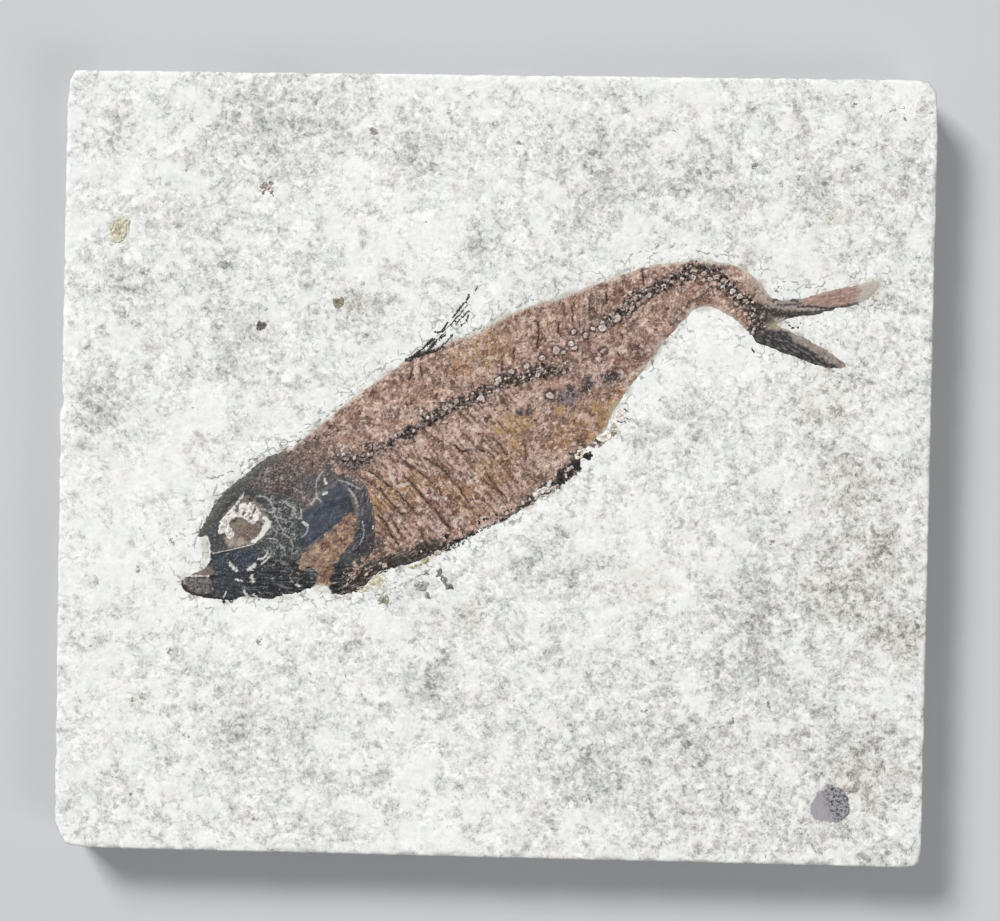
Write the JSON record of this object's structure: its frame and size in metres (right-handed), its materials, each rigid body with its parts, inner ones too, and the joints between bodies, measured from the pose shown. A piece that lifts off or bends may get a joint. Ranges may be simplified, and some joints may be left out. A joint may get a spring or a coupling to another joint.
{
  "type": "fossil fish slab",
  "caption": "Rectangular limestone slab with a small fossil fish standing in low relief in its split face; lies flat on its back, fish upward",
  "frame": {"origin": "centre of the slab's back at the level it rests on: the bottom centre of the bounding box", "axes": "+X along the lower sawn edge, toward the fish's tail, +Y up the face, +Z out of the split face on which the fish lies"},
  "size_m": [0.114, 0.103, 0.0106],
  "materials": {
    "limestone": "matte, chalky",
    "fossil_bone": "satin to matte"
  },
  "bodies": {
    "root": {"limestone_slab": "limestone", "fossil_fish": "fossil_bone"}
  },
  "joints": []
}
